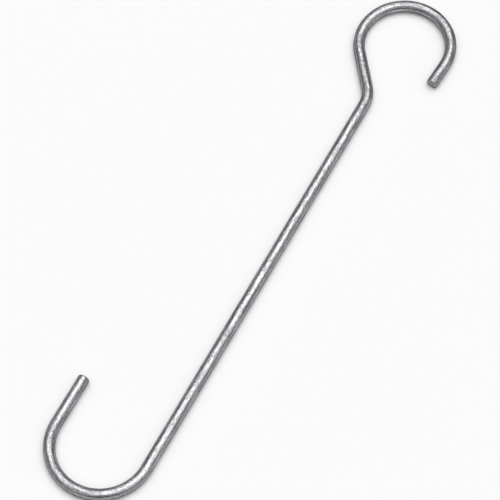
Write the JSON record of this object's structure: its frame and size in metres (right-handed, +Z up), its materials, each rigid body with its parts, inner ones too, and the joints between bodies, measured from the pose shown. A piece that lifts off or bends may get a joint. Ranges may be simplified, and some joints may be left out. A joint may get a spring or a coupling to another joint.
{
  "type": "s hook",
  "caption": "Long S hook bent from round steel wire, with a wide open hook at one end and a swan-necked loop at the other, for hanging things from a rail.",
  "frame": {"origin": "on the surface that the hook lies on, under the middle of its outline", "axes": "+Y along the shank, from the wide hook towards the loop; +X towards the side where the loop's tip comes down, away from the hook's leg; +Z up, square to the plane of the bends"},
  "size_m": [0.0694, 0.2712, 0.005],
  "materials": {
    "steel_wire": "bright drawn wire, satin"
  },
  "bodies": {
    "root": {"hook": "steel_wire"}
  },
  "joints": []
}
